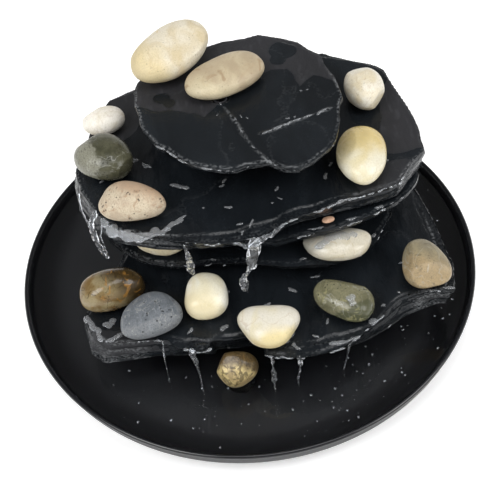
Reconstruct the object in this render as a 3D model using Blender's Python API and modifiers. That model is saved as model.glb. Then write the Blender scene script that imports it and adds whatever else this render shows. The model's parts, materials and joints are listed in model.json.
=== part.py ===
"""A stacked-slate tabletop water fountain.

A round dish of water holds a small submersible pump. Legs of stone carry five broken slate slabs
above it, a riser tube runs up through them, and river pebbles lie loose on the tiers.
The frame: +Z up, the origin at the table under the middle of the dish, the front of the fountain
towards -Y. Sizes are in metres, and the outlines of stones are in millimetres.
"""

import math
import random

import bmesh
import bpy
from mathutils import Matrix, Vector

MM = 0.001
GAP = 0.3 * MM  # the air kept between pieces that rest on each other

# Dish
DISH_RADIUS = 0.215
DISH_HEIGHT = 0.042
DISH_WALL = 3.4 * MM
DISH_RIM_WIDTH = 5 * MM
DISH_SLOPE_WIDTH = 0.034  # from the flat floor's edge out to the lip
FOOT_HEIGHT = 3 * MM
FOOT_RADIUS = 9 * MM
FOOT_COUNT = 4

# Heights of the stack, from the dish floor up
LEG_HEIGHT = 0.050
LOWER_SLAB_THICK = 0.023
LOWER_GAP = 0.0145
MID_SLAB_THICK = 0.009
MID_GAP = 0.025
THIN_SLAB_THICK = 0.009
THIN_GAP = 0.0055
UPPER_SLAB_THICK = 0.020
TOP_GAP = 0.0345
TOP_SLAB_THICK = 0.0085
LEDGE_HEIGHT = 0.034

# Riser
RISER_X = -8 * MM
RISER_Y = 44 * MM
TUBE_OUTER = 6.3 * MM
TUBE_WALL = 1.5 * MM
TUBE_IN_BORE = 0.9 * MM  # clearance round the tube in each slab
TUBE_ON_NOZZLE = 0.2 * MM
NOZZLE_GRIP = 9 * MM
NOZZLE_WALL = 1.5 * MM

# Pump
PUMP_WIDTH = 0.042
PUMP_DEPTH = 0.036
PUMP_HEIGHT = 0.032
PUMP_WALL = 1.6 * MM
CUP_RADIUS = 6.5 * MM
CUP_HEIGHT = 5.5 * MM
VOLUTE_DEPTH = 0.012
VOLUTE_WIDTH = 0.030
VOLUTE_HEIGHT = 0.026
INTAKE_DEPTH = 0.024
SHAFT_RADIUS = 1.0 * MM
SHAFT_CLEARANCE = 0.1 * MM
BUSH_RADIUS = 2.6 * MM
BUSH_LENGTH = 3.2 * MM
ROTOR_RADIUS = 7.2 * MM
ROTOR_LENGTH = 0.022
ROTOR_CLEARANCE = 0.8 * MM
IMPELLER_RADIUS = 8.2 * MM
IMPELLER_BLADES = 4
BLADE_DEPTH = 3.6 * MM
BLADE_THICK = 1.2 * MM
KNOB_RADIUS = 5.5 * MM
KNOB_STEM_RADIUS = 2.2 * MM
KNOB_CLEARANCE = 0.25 * MM
SLOT_COUNT = 4
SLOT_WIDTH = 2.2 * MM
GLAND_RADIUS = 4.5 * MM
GLAND_LENGTH = 0.009
CORD_RADIUS = 2.3 * MM

# Levels worked out from the sizes above
DISH_UNDERSIDE = FOOT_HEIGHT + GAP
FLOOR = DISH_UNDERSIDE + DISH_WALL
LOWER_BOTTOM = FLOOR + GAP + LEG_HEIGHT + GAP
LOWER_TOP = LOWER_BOTTOM + LOWER_SLAB_THICK
MID_BOTTOM = LOWER_TOP + LOWER_GAP
MID_TOP = MID_BOTTOM + MID_SLAB_THICK
THIN_BOTTOM = MID_TOP + MID_GAP
THIN_TOP = THIN_BOTTOM + THIN_SLAB_THICK
UPPER_BOTTOM = THIN_TOP + THIN_GAP
UPPER_TOP = UPPER_BOTTOM + UPPER_SLAB_THICK
TOP_BOTTOM = UPPER_TOP + TOP_GAP
TOP_TOP = TOP_BOTTOM + TOP_SLAB_THICK
LEDGE_TOP = FLOOR + GAP + LEDGE_HEIGHT
PUMP_BOTTOM = FLOOR + GAP + CUP_HEIGHT + GAP
PUMP_TOP = PUMP_BOTTOM + PUMP_HEIGHT
ROTOR_Z = PUMP_BOTTOM + PUMP_HEIGHT / 2
VOLUTE_BACK = RISER_Y + VOLUTE_DEPTH / 2
VOLUTE_FRONT = RISER_Y - VOLUTE_DEPTH / 2
PUMP_FRONT = VOLUTE_BACK + GAP
PUMP_BACK = PUMP_FRONT + PUMP_DEPTH
INTAKE_FRONT = VOLUTE_BACK - INTAKE_DEPTH
TUBE_BOTTOM = PUMP_TOP + 1.5 * MM
TUBE_TOP = TOP_TOP - 1 * MM

# Each outline runs round a slab as seen from above, in millimetres: x, y and how far the foot of
# the broken edge stands out past its top there. A negative number is an undercut.
LOWER_OUTLINE = (
    (-146, -62, 2), (-149, -79, 3), (-138, -103, 10), (-124, -112, 12), (-98, -113, 8), (-76, -116, 2),
    (-68, -126, -9), (-49, -132, -13), (-42, -131, -12), (-39, -121, -5), (1, -122, -5), (5, -144, -14),
    (34, -150, -17), (69, -144, -14), (97, -126, -2), (127, -100, 8), (150, -93, 8), (178, -97, -6),
    (183, -67, -9), (178, -28, -6), (170, 20, -4), (158, 72, 0), (128, 112, 0), (75, 133, 0),
    (10, 140, 0), (-55, 132, 0), (-98, 106, 0), (-116, 60, 0), (-108, 10, 0), (-122, -36, 0),
)
MID_OUTLINE = (
    (-125, -12, 0), (-114, -25, -1), (-85, -47, -2), (-56, -55, -3), (-5, -60, -5), (35, -70, -5),
    (72, -72, -5), (96, -68, -5), (114, -54, -4), (135, -22, -2), (140, 20, 0), (128, 72, 0),
    (92, 106, 0), (30, 120, 0), (-40, 114, 0), (-92, 92, 0), (-118, 50, 0), (-126, 16, 0),
)
THIN_OUTLINE = (
    (-38, -46, 0), (23, -70, -2), (66, -63, -2), (96, -56, -2), (134, -39, -2), (150, -25, -2),
    (160, -8, 0), (158, 30, 0), (146, 76, 0), (110, 104, 0), (40, 108, 0), (-30, 90, 0), (-52, 20, 0),
)
UPPER_OUTLINE = (
    (-113, 108, 0), (-130, 72, 3), (-142, 22, 5), (-137, -6, 6), (-123, -37, 5), (-106, -56, 2),
    (-82, -70, -4), (-33, -84, -11), (-5, -87, -12), (14, -82, -12), (38, -70, -10), (64, -62, -8),
    (91, -52, -5), (117, -46, -3), (137, -39, -2), (148, -22, -1), (165, -3, 0), (165, 22, 0),
    (159, 60, 0), (148, 108, 0), (131, 121, 0), (94, 142, 0), (20, 140, 0), (-60, 132, 0),
)
TOP_OUTLINE = (
    (-80, 77, 0), (-83, 57, 0), (-80, 36, 0), (-75, 12, 0), (-66, -7, -1), (-52, -21, -2), (-38, -34, -2),
    (-19, -43, -3), (-2, -47, -3), (14, -44, -3), (27, -43, -3), (40, -52, -3), (50, -54, -3),
    (64, -46, -3), (79, -32, -2), (88, -11, -1), (92, 10, 0), (97, 28, 0), (94, 54, 0), (86, 86, 0),
    (68, 108, 0), (33, 126, 0), (0, 121, 0), (-50, 108, 0),
)

# Stones that hold the tiers apart: name, x and y in millimetres, radius in millimetres.
LEGS = (("front_left", -82, -66, 19), ("front_right", 84, -72, 20), ("rear_left", -74, 82, 20),
        ("rear_right", 92, 70, 21))
LOWER_SPACERS = (("left", -72, 4, 19), ("right", 78, -18, 20), ("rear", 30, 88, 22))
MID_SPACERS = (("front", 52, -28, 18), ("right", 104, 34, 20))
TALL_SPACERS = (("left", -86, 16, 21), ("rear", -70, 76, 19))
SHIMS = (("left", -12, 6, 15), ("right", 112, 34, 16))
TOP_SPACERS = (("left", -48, 30, 17), ("right", 48, 4, 18), ("rear", 40, 84, 17))
LEDGE = ("ledge_stone", -19, -123, 17)

# Loose pebbles: name, the level it lies on, x, y, length, width, thickness in millimetres, the
# direction of its long axis and of one of its soft corners in degrees, how much its far end widens,
# how three-cornered it is, and its colour.
CREAM = (0.78, 0.72, 0.60)
IVORY = (0.84, 0.81, 0.74)
WHITE = (0.87, 0.86, 0.82)
TAN = (0.72, 0.62, 0.45)
PEBBLES = (
    ("pebble_ivory_long", TOP_TOP, -46, 93, 86, 54, 33, 47, 200, 0.08, 0.04, CREAM),
    ("pebble_tan_oval", TOP_TOP, -2, 59, 77, 47, 21, 27, 200, 0.03, 0.02, TAN),
    ("pebble_ivory_round", UPPER_TOP, 122, 68, 49, 36, 27, 95, 270, 0.08, 0.03, IVORY),
    ("pebble_yellow_egg", UPPER_TOP, 106, -14, 66, 43, 25, 83, 270, 0.12, 0.03, CREAM),
    ("pebble_white_small", UPPER_TOP, -115, 67, 40, 30, 21, 15, 180, 0.06, 0.02, WHITE),
    ("pebble_grey_green", UPPER_TOP, -112, 14, 56, 46, 31, 141, 315, 0.05, 0.07, (0.32, 0.33, 0.28)),
    ("pebble_pink_beige", UPPER_TOP, -89, -41, 57, 37, 30, 168, 98, 0.02, 0.10, (0.70, 0.60, 0.52)),
    ("pebble_cream_flat", MID_TOP, -74, -28, 50, 38, 23, 166, 270, 0.05, 0.02, IVORY),
    ("pebble_ivory_wet", MID_TOP, 79, -59, 60, 33, 20, 176, 270, 0.03, 0.05, IVORY),
    ("pebble_tan_corner", LOWER_TOP, 153, -73, 51, 42, 25, 98, 100, -0.03, 0.08, TAN),
    ("pebble_brown_banded", LOWER_TOP, -121, -67, 59, 37, 36, 11, 240, -0.13, 0.04, (0.26, 0.18, 0.09)),
    ("pebble_blue_grey", LOWER_TOP, -89, -97, 56, 43, 28, 20, 215, 0.00, 0.07, (0.30, 0.33, 0.36)),
    ("pebble_cream_upright", LOWER_TOP, -39, -84, 45, 38, 29, 84, 225, -0.10, 0.03, IVORY),
    ("pebble_cream_wide", LOWER_TOP, 11, -123, 54, 41, 26, 174, 268, 0.00, 0.11, CREAM),
    ("pebble_olive", LOWER_TOP, 78, -102, 58, 37, 26, 146, 160, 0.06, 0.04, (0.33, 0.33, 0.22)),
    ("pebble_mottled", LEDGE_TOP, -19, -139, 37, 29, 37, 0, 20, 0.05, 0.08, (0.42, 0.36, 0.20)),
    ("pebble_wedge", THIN_TOP, 72, -52, 11, 7, 4.4, 10, 90, 0.05, 0.00, (0.60, 0.45, 0.36)),
)

SLATE = (0.045, 0.048, 0.052)
SLATE_DARK = (0.03, 0.032, 0.035)
BLACK_PLASTIC = (0.012, 0.012, 0.013)
BLACK_RUBBER = (0.018, 0.018, 0.018)


def new_collection(name):
    collection = bpy.data.collections.new(name)
    bpy.context.scene.collection.children.link(collection)
    return collection


def clear_scene():
    for obj in list(bpy.data.objects):
        bpy.data.objects.remove(obj, do_unlink=True)


clear_scene()
FOUNTAIN = new_collection("tabletop_fountain")
CUTTERS = new_collection("cutters")


# Making pieces ---------------------------------------------------------------------------------


def material(name, colour, roughness, metallic=0.0):
    made = bpy.data.materials.new(name)
    made.use_nodes = True
    shader = made.node_tree.nodes["Principled BSDF"]
    shader.inputs["Base Color"].default_value = (*colour, 1.0)
    shader.inputs["Roughness"].default_value = roughness
    shader.inputs["Metallic"].default_value = metallic
    return made


def piece(name, mesh, look, collection=FOUNTAIN, location=(0, 0, 0), rotation=(0, 0, 0)):
    """Puts a mesh in the scene as the sub-part of this name."""
    obj = bpy.data.objects.new(name, mesh)
    obj.location = location
    obj.rotation_euler = rotation
    collection.objects.link(obj)
    if look:
        obj.data.materials.append(material(name, *look))
    return obj


def mesh_from(bm, name, smooth_angle=None):
    bmesh.ops.recalc_face_normals(bm, faces=bm.faces)
    mesh = bpy.data.meshes.new(name)
    bm.to_mesh(mesh)
    bm.free()
    if smooth_angle is not None:
        mesh.shade_smooth()
        mesh.set_sharp_from_angle(angle=smooth_angle)
    return mesh


def box_mesh(name, low, high):
    """A box between two corners, in place."""
    bm = bmesh.new()
    bmesh.ops.create_cube(bm, size=1.0)
    size = [b - a for a, b in zip(low, high)]
    middle = [(a + b) / 2 for a, b in zip(low, high)]
    bmesh.ops.scale(bm, vec=size, verts=bm.verts)
    bmesh.ops.translate(bm, vec=middle, verts=bm.verts)
    return mesh_from(bm, name)


def rod_mesh(name, radius, start, end, sides=32):
    """A cylinder from one point to another."""
    along = Vector(end) - Vector(start)
    bm = bmesh.new()
    bmesh.ops.create_cone(bm, cap_ends=True, segments=sides, radius1=radius, radius2=radius,
                          depth=along.length)
    turn = along.to_track_quat("Z", "Y").to_matrix().to_4x4()
    place = Matrix.Translation((Vector(start) + Vector(end)) / 2) @ turn
    bmesh.ops.transform(bm, matrix=place, verts=bm.verts)
    return mesh_from(bm, name, math.radians(40))


def cutter(name, mesh):
    obj = piece(name, mesh, None, CUTTERS)
    obj.hide_render = True
    obj.display_type = "WIRE"
    return obj


def boolean(obj, other, operation):
    step = obj.modifiers.new(operation.lower() + "_" + other.name, "BOOLEAN")
    step.operation = operation
    step.solver = "EXACT"
    step.object = other


def cut(obj, name, mesh):
    boolean(obj, cutter(name, mesh), "DIFFERENCE")


def join(obj, name, mesh):
    boolean(obj, cutter(name, mesh), "UNION")


def soften(obj, width, segments=2):
    bevel = obj.modifiers.new("rounded_edges", "BEVEL")
    bevel.width = width
    bevel.segments = segments
    bevel.limit_method = "ANGLE"
    bevel.angle_limit = math.radians(50)


def turned(name, profile, look, location=(0, 0, 0), rotation=(0, 0, 0), steps=32, ring=False):
    """A profile of (radius, height) turned about its own Z. It runs down its outer side."""
    mesh = bpy.data.meshes.new(name)
    points = [(radius, 0, height) for radius, height in profile]
    edges = [(i, i + 1) for i in range(len(points) - 1)]
    if ring:
        edges.append((len(points) - 1, 0))
    mesh.from_pydata(points, edges, [])
    obj = piece(name, mesh, look, location=location, rotation=rotation)
    screw = obj.modifiers.new("turned", "SCREW")
    screw.steps = steps
    screw.render_steps = steps
    screw.use_merge_vertices = True
    screw.merge_threshold = 0.00001
    screw.use_smooth_shade = True
    return obj


# Dish ------------------------------------------------------------------------------------------


def dish_profile():
    """Inside floor, curved wall, rolled lip, then the outside back to the middle."""
    lip_inner = DISH_RADIUS - DISH_RIM_WIDTH
    floor_edge = lip_inner - DISH_SLOPE_WIDTH
    rise = DISH_HEIGHT - FLOOR
    inside = [(0.0, FLOOR), (floor_edge, FLOOR)]
    for turn in (22, 40, 56, 70, 82):
        angle = math.radians(turn)
        inside.append((floor_edge + DISH_SLOPE_WIDTH * math.sin(angle),
                       FLOOR + rise * (1 - math.cos(angle)) * 0.98))
    lip = [(lip_inner + 0.3 * DISH_RIM_WIDTH, DISH_HEIGHT),
           (DISH_RADIUS - 0.2 * DISH_RIM_WIDTH, DISH_HEIGHT),
           (DISH_RADIUS, DISH_HEIGHT - 0.35 * DISH_RIM_WIDTH),
           (DISH_RADIUS - 0.2 * DISH_RIM_WIDTH, DISH_HEIGHT - 0.8 * DISH_RIM_WIDTH)]
    outside = []
    for turn in (74, 60, 44, 24):
        angle = math.radians(turn)
        outside.append((floor_edge + (DISH_SLOPE_WIDTH + DISH_WALL) * math.sin(angle),
                        DISH_UNDERSIDE + rise * (1 - math.cos(angle)) * 0.98))
    return inside + lip + outside + [(floor_edge, DISH_UNDERSIDE), (0.0, DISH_UNDERSIDE)]


def make_dish():
    turned("tray", dish_profile(), ((0.016, 0.017, 0.02), 0.45), steps=72)
    ring = DISH_RADIUS - DISH_RIM_WIDTH - DISH_SLOPE_WIDTH - 2 * FOOT_RADIUS
    foot = [(0, FOOT_HEIGHT), (FOOT_RADIUS * 0.9, FOOT_HEIGHT), (FOOT_RADIUS, FOOT_HEIGHT * 0.7),
            (FOOT_RADIUS, 0), (0, 0)]
    for index in range(FOOT_COUNT):
        angle = 2 * math.pi * (index + 0.5) / FOOT_COUNT
        place = (ring * math.cos(angle), ring * math.sin(angle), 0)
        turned(f"tray_foot_{index + 1}", foot, (BLACK_RUBBER, 0.8), place, steps=20)


# Stones ----------------------------------------------------------------------------------------


def broken_edge(outline, rng, chip):
    """The outline in metres with one chipped point between each two of its own."""
    points = []
    for here, after in zip(outline, outline[1:] + outline[:1]):
        a = Vector(here) * MM
        b = Vector(after) * MM
        points.append(a)
        if (b - a).length > 14 * MM:
            side = Vector((a.y - b.y, b.x - a.x, 0)).normalized()
            points.append(a.lerp(b, rng.uniform(0.4, 0.6)) + side * rng.uniform(-chip, chip))
    return points


def stone_layers(points, bottom, thick, inset, rng, wander):
    """Rings of the broken edge from the foot up: share of the height, share of the flare, inset."""
    middle = sum((Vector((p.x, p.y, 0)) for p in points), Vector()) / len(points)
    rings = []
    for share, flare, pull in ((0.0, 1.0, 1.0), (0.3, 0.9, 0.0), (0.72, 0.3, 0.0), (1.0, 0.0, 0.5)):
        ring = []
        for p in points:
            place = Vector((p.x, p.y, 0))
            outward = (place - middle).normalized()
            place += outward * (p.z * flare - inset * pull + rng.uniform(-wander, wander))
            ring.append((place.x, place.y, bottom + share * thick))
        rings.append(ring)
    return rings


def lofted(name, rings):
    """A closed solid through rings with the same number of points."""
    bm = bmesh.new()
    rows = [[bm.verts.new(point) for point in ring] for ring in rings]
    bm.faces.new(list(reversed(rows[0])))
    bm.faces.new(rows[-1])
    for below, above in zip(rows, rows[1:]):
        for i in range(len(below)):
            j = (i + 1) % len(below)
            bm.faces.new((below[i], below[j], above[j], above[i]))
    bmesh.ops.triangulate(bm, faces=bm.faces)
    return mesh_from(bm, name, math.radians(35))


def make_slab(name, outline, bottom, thick, seed, colour=SLATE):
    rng = random.Random(seed)
    points = broken_edge(outline, rng, 1.6 * MM)
    rings = stone_layers(points, bottom, thick, 1.2 * MM, rng, 0.5 * MM)
    slab = piece(name, lofted(name, rings), (colour, 0.55))
    bore = TUBE_OUTER + TUBE_IN_BORE
    cut(slab, name + "_bore", rod_mesh(name, bore, (RISER_X, RISER_Y, bottom - 0.01),
                                       (RISER_X, RISER_Y, bottom + thick + 0.01), 24))


def make_block(name, x, y, radius, bottom, height, seed):
    """A rough block of slate between two tiers."""
    rng = random.Random(seed)
    corners = 9
    outline = []
    for i in range(corners):
        angle = 2 * math.pi * (i + rng.uniform(-0.25, 0.25)) / corners
        reach = radius * rng.uniform(0.82, 1.0)
        outline.append(Vector((x + reach * math.cos(angle), y + reach * math.sin(angle), 0)) * MM)
    rings = stone_layers(outline, bottom, height, 0.8 * MM, rng, 0.4 * MM)
    piece(name, lofted(name, rings), (SLATE_DARK, 0.6))


def make_stack():
    make_slab("lower_slab", LOWER_OUTLINE, LOWER_BOTTOM, LOWER_SLAB_THICK, 11)
    make_slab("mid_slab", MID_OUTLINE, MID_BOTTOM, MID_SLAB_THICK, 12)
    make_slab("thin_slab", THIN_OUTLINE, THIN_BOTTOM, THIN_SLAB_THICK, 13)
    make_slab("upper_slab", UPPER_OUTLINE, UPPER_BOTTOM, UPPER_SLAB_THICK, 14)
    make_slab("top_slab", TOP_OUTLINE, TOP_BOTTOM, TOP_SLAB_THICK, 15)
    groups = (
        ("leg", LEGS, FLOOR, LEG_HEIGHT + 2 * GAP),
        ("lower_spacer", LOWER_SPACERS, LOWER_TOP, LOWER_GAP),
        ("mid_spacer", MID_SPACERS, MID_TOP, MID_GAP),
        ("tall_spacer", TALL_SPACERS, MID_TOP, UPPER_BOTTOM - MID_TOP),
        ("shim", SHIMS, THIN_TOP, THIN_GAP),
        ("top_spacer", TOP_SPACERS, UPPER_TOP, TOP_GAP),
    )
    seed = 30
    for kind, stones, below, room in groups:
        for where, x, y, radius in stones:
            make_block(f"{kind}_{where}", x, y, radius, below + GAP, room - 2 * GAP, seed)
            seed += 1
    name, x, y, radius = LEDGE
    make_block(name, x, y, radius, FLOOR + GAP, LEDGE_HEIGHT, seed)


def make_pebble(name, level, x, y, length, width, thick, turn, corner, widen, corners, colour, seed):
    """A river pebble: a ball drawn out to three sizes, widened at one end, with three soft corners."""
    phase = random.Random(seed).uniform(0, 2 * math.pi)
    corner_angle = math.radians(corner - turn)
    bm = bmesh.new()
    bmesh.ops.create_icosphere(bm, subdivisions=3 if length > 20 else 2, radius=1.0)
    for vert in bm.verts:
        p = vert.co
        angle = math.atan2(p.y, p.x) - corner_angle
        reach = 1 + widen * p.x + corners * math.cos(3 * angle)
        lump = 1 + 0.02 * math.sin(3.1 * p.x + 2.3 * p.z + phase) * math.cos(2.7 * p.y - phase)
        vert.co = Vector((p.x * reach, p.y * reach, p.z)) * lump
    for axis, size in enumerate((length, width, thick)):
        low = min(v.co[axis] for v in bm.verts)
        high = max(v.co[axis] for v in bm.verts)
        for vert in bm.verts:
            vert.co[axis] = (vert.co[axis] - (low + high) / 2) * size * MM / (high - low)
    bmesh.ops.rotate(bm, matrix=Matrix.Rotation(math.radians(turn), 3, "Z"), verts=bm.verts)
    mesh = mesh_from(bm, name, math.pi)
    piece(name, mesh, (colour, 0.35), location=(x * MM, y * MM, level + GAP + thick / 2 * MM))


def make_pebbles():
    for index, row in enumerate(PEBBLES):
        make_pebble(*row, seed=60 + index)


# Pump and riser --------------------------------------------------------------------------------


def make_riser():
    inner = TUBE_OUTER - TUBE_WALL
    wall = [(inner, TUBE_TOP), (TUBE_OUTER, TUBE_TOP), (TUBE_OUTER, TUBE_BOTTOM), (inner, TUBE_BOTTOM)]
    turned("riser_tube", wall, ((0.05, 0.05, 0.055), 0.3), (RISER_X, RISER_Y, 0), steps=24, ring=True)


def along_y(radius, front, back, sides=32):
    """A rod on the rotor's axis between two depths."""
    return rod_mesh("rod", radius, (RISER_X, front, ROTOR_Z), (RISER_X, back, ROTOR_Z), sides)


def make_pump_body():
    half = PUMP_WIDTH / 2
    body = piece("pump_body", box_mesh("pump_body", (RISER_X - half, PUMP_FRONT, PUMP_BOTTOM),
                                       (RISER_X + half, PUMP_BACK, PUMP_TOP)), (BLACK_PLASTIC, 0.4))
    soften(body, 2.5 * MM)
    well = ROTOR_LENGTH + 4 * MM
    cut(body, "rotor_well", along_y(ROTOR_RADIUS + ROTOR_CLEARANCE, PUMP_FRONT - 0.01, PUMP_FRONT + well))
    seat = BUSH_RADIUS + SHAFT_CLEARANCE
    cut(body, "bush_seat", along_y(seat, PUMP_FRONT, PUMP_FRONT + well + BUSH_LENGTH, 24))
    return PUMP_FRONT + well


def bush(name, front, back):
    """A rubber sleeve that holds one end of the rotor's shaft."""
    inner = SHAFT_RADIUS + SHAFT_CLEARANCE
    half = (back - front) / 2
    wall = [(inner, half), (BUSH_RADIUS, half), (BUSH_RADIUS, -half), (inner, -half)]
    turned(name, wall, (BLACK_RUBBER, 0.85), (RISER_X, (front + back) / 2, ROTOR_Z),
           (math.pi / 2, 0, 0), steps=24, ring=True)


def make_volute():
    half = VOLUTE_WIDTH / 2
    low = ROTOR_Z - VOLUTE_HEIGHT / 2
    high = ROTOR_Z + VOLUTE_HEIGHT / 2
    cover = piece("volute_cover", box_mesh("volute_cover", (RISER_X - half, VOLUTE_FRONT, low),
                                           (RISER_X + half, VOLUTE_BACK, high)), (BLACK_PLASTIC, 0.4))
    soften(cover, 1.5 * MM)
    nozzle = TUBE_OUTER - TUBE_WALL - TUBE_ON_NOZZLE
    top = TUBE_BOTTOM + NOZZLE_GRIP
    join(cover, "nozzle", rod_mesh("nozzle", nozzle, (RISER_X, RISER_Y, high - 2 * MM),
                                   (RISER_X, RISER_Y, top), 24))
    wall = 4.4 * MM
    chamber = IMPELLER_RADIUS + 1.2 * MM
    cut(cover, "volute_chamber", along_y(chamber, VOLUTE_FRONT + wall, VOLUTE_BACK + 0.01))
    cut(cover, "nozzle_bore", rod_mesh("bore", nozzle - NOZZLE_WALL, (RISER_X, RISER_Y, ROTOR_Z),
                                       (RISER_X, RISER_Y, top + 0.01), 24))
    cut(cover, "front_bush_seat", along_y(BUSH_RADIUS + SHAFT_CLEARANCE, VOLUTE_FRONT + wall - BUSH_LENGTH,
                                          VOLUTE_BACK, 24))
    for index in range(4):
        angle = math.pi / 4 + index * math.pi / 2
        x = RISER_X + 5.8 * MM * math.cos(angle)
        z = ROTOR_Z + 5.8 * MM * math.sin(angle)
        cut(cover, f"eye_{index}", rod_mesh("eye", 1.9 * MM, (x, VOLUTE_FRONT - 0.01, z),
                                            (x, VOLUTE_FRONT + wall + 0.001, z), 16))
    return VOLUTE_FRONT + wall


def make_rotor(chamber_front, well_back):
    """The shaft stands still in its two bushes, and the magnet and the impeller turn on it."""
    bush("front_bush", chamber_front - BUSH_LENGTH + GAP, chamber_front)
    bush("rear_bush", well_back, well_back + BUSH_LENGTH - GAP)
    shaft = along_y(SHAFT_RADIUS, chamber_front - BUSH_LENGTH + 2 * GAP, well_back + BUSH_LENGTH - 2 * GAP, 24)
    piece("impeller_shaft", shaft, ((0.85, 0.85, 0.82), 0.25))
    bore = SHAFT_RADIUS + SHAFT_CLEARANCE
    back = well_back - 2 * GAP
    front = back - ROTOR_LENGTH
    half = ROTOR_LENGTH / 2
    wall = [(bore, half), (ROTOR_RADIUS, half), (ROTOR_RADIUS, -half), (bore, -half)]
    turned("rotor_magnet", wall, ((0.08, 0.08, 0.085), 0.5), (RISER_X, (front + back) / 2, ROTOR_Z),
           (math.pi / 2, 0, 0), steps=32, ring=True)
    disc_back = VOLUTE_BACK - 0.5 * MM
    disc_front = disc_back - 1.4 * MM
    wheel = piece("impeller", along_y(IMPELLER_RADIUS, disc_front, disc_back), ((0.75, 0.76, 0.78), 0.4))
    join(wheel, "impeller_hub", along_y(3 * MM, disc_front - BLADE_DEPTH, front - GAP, 24))
    for index in range(IMPELLER_BLADES // 2):
        blade = box_mesh("blade", (-IMPELLER_RADIUS * 0.96, disc_front - BLADE_DEPTH * 0.9, -BLADE_THICK / 2),
                         (IMPELLER_RADIUS * 0.96, disc_front + 0.3 * MM, BLADE_THICK / 2))
        turn = Matrix.Rotation(index * 2 * math.pi / IMPELLER_BLADES, 4, "Y")
        blade.transform(Matrix.Translation((RISER_X, 0, ROTOR_Z)) @ turn)
        join(wheel, f"blade_pair_{index}", blade)
    cut(wheel, "impeller_bore", along_y(bore, disc_front - 0.02, front + 0.02, 24))


def make_intake():
    half = PUMP_WIDTH / 2
    cover = piece("intake_cover", box_mesh("intake_cover", (RISER_X - half, INTAKE_FRONT, PUMP_BOTTOM),
                                           (RISER_X + half, VOLUTE_BACK, PUMP_TOP)), (BLACK_PLASTIC, 0.45))
    inside_low = (RISER_X - half + PUMP_WALL, INTAKE_FRONT + PUMP_WALL, PUMP_BOTTOM + PUMP_WALL)
    inside_high = (RISER_X + half - PUMP_WALL, VOLUTE_BACK + 0.01, PUMP_TOP - PUMP_WALL)
    cut(cover, "intake_hollow", box_mesh("hollow", inside_low, inside_high))
    room = TUBE_OUTER + 0.5 * MM
    cut(cover, "nozzle_slot", box_mesh("nozzle_slot", (RISER_X - room, RISER_Y - room, PUMP_TOP - 3 * PUMP_WALL),
                                       (RISER_X + room, VOLUTE_BACK + 0.01, PUMP_TOP + 0.01)))
    for side in (-1, 1):
        for index in range(SLOT_COUNT // 2):
            x = RISER_X + side * (8.5 + 5.0 * index) * MM
            cut(cover, f"intake_slot_{side}_{index}",
                box_mesh("slot", (x - SLOT_WIDTH / 2, INTAKE_FRONT - 0.01, PUMP_BOTTOM + 5 * MM),
                         (x + SLOT_WIDTH / 2, INTAKE_FRONT + 2 * PUMP_WALL, PUMP_TOP - 5 * MM)))
    hole = KNOB_STEM_RADIUS + KNOB_CLEARANCE
    cut(cover, "knob_hole", along_y(hole, INTAKE_FRONT - 0.01, INTAKE_FRONT + 2 * PUMP_WALL, 24))


def make_regulator():
    """A knob on the cover's front turns a half disc that closes part of the slots from inside."""
    behind = INTAKE_FRONT + PUMP_WALL + GAP
    knob = piece("flow_knob", along_y(KNOB_RADIUS, INTAKE_FRONT - GAP - 2 * MM, INTAKE_FRONT - GAP),
                 (BLACK_PLASTIC, 0.35))
    join(knob, "knob_stem", along_y(KNOB_STEM_RADIUS, INTAKE_FRONT - GAP - 1 * MM, behind - GAP, 24))
    grip = box_mesh("grip", (RISER_X - 1 * MM, INTAKE_FRONT - GAP - 4 * MM, ROTOR_Z - KNOB_RADIUS * 0.9),
                    (RISER_X + 1 * MM, INTAKE_FRONT - GAP - 1 * MM, ROTOR_Z + KNOB_RADIUS * 0.9))
    join(knob, "knob_grip", grip)
    reach = 12 * MM
    shutter = piece("flow_shutter", along_y(reach, behind, behind + 1.2 * MM), (BLACK_PLASTIC, 0.4))
    cut(shutter, "shutter_half", box_mesh("half", (RISER_X - 0.02, behind - 0.01, ROTOR_Z + 3.4 * MM),
                                          (RISER_X + 0.02, behind + 0.01, ROTOR_Z + 0.02)))


def make_cups():
    cup = [(0, CUP_HEIGHT), (2.6 * MM, CUP_HEIGHT), (2.6 * MM, 0.6 * CUP_HEIGHT), (CUP_RADIUS, 0.9 * MM),
           (CUP_RADIUS, 0), (CUP_RADIUS - 1 * MM, 0), (0, 1.4 * MM)]
    across = PUMP_WIDTH / 2 - CUP_RADIUS - 1 * MM
    middle = (PUMP_FRONT + PUMP_BACK) / 2
    along = PUMP_DEPTH / 2 - CUP_RADIUS - 1 * MM
    index = 1
    for side in (-1, 1):
        for end in (-1, 1):
            place = (RISER_X + side * across, middle + end * along, FLOOR + GAP)
            turned(f"suction_cup_{index}", cup, (BLACK_RUBBER, 0.7), place, steps=20)
            index += 1


def make_gland():
    """The rubber inlet where the mains lead enters the sealed pump."""
    wall = [(CORD_RADIUS, GLAND_LENGTH), (GLAND_RADIUS * 0.8, GLAND_LENGTH), (GLAND_RADIUS, 0), (CORD_RADIUS, 0)]
    place = (RISER_X + 8 * MM, PUMP_BACK + GAP, ROTOR_Z + 4 * MM)
    turned("cord_gland", wall, (BLACK_RUBBER, 0.75), place, (-math.pi / 2, 0, 0), steps=24, ring=True)


def make_pump():
    well_back = make_pump_body()
    chamber_front = make_volute()
    make_rotor(chamber_front, well_back)
    make_intake()
    make_regulator()
    make_cups()
    make_gland()


make_dish()
make_stack()
make_pebbles()
make_riser()
make_pump()
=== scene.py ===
"""The looks of the stacked-slate fountain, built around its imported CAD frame.

Stones are remeshed from their CAD solids and then split, chipped and worn by noise. The dish is
turned again with a fine profile. The water is modelled as closed clear bodies that lie on the stones,
hang between them and fill the dish. Places are in metres, with +Z up and the front at -Y.
"""

import json
import math
import random

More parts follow.
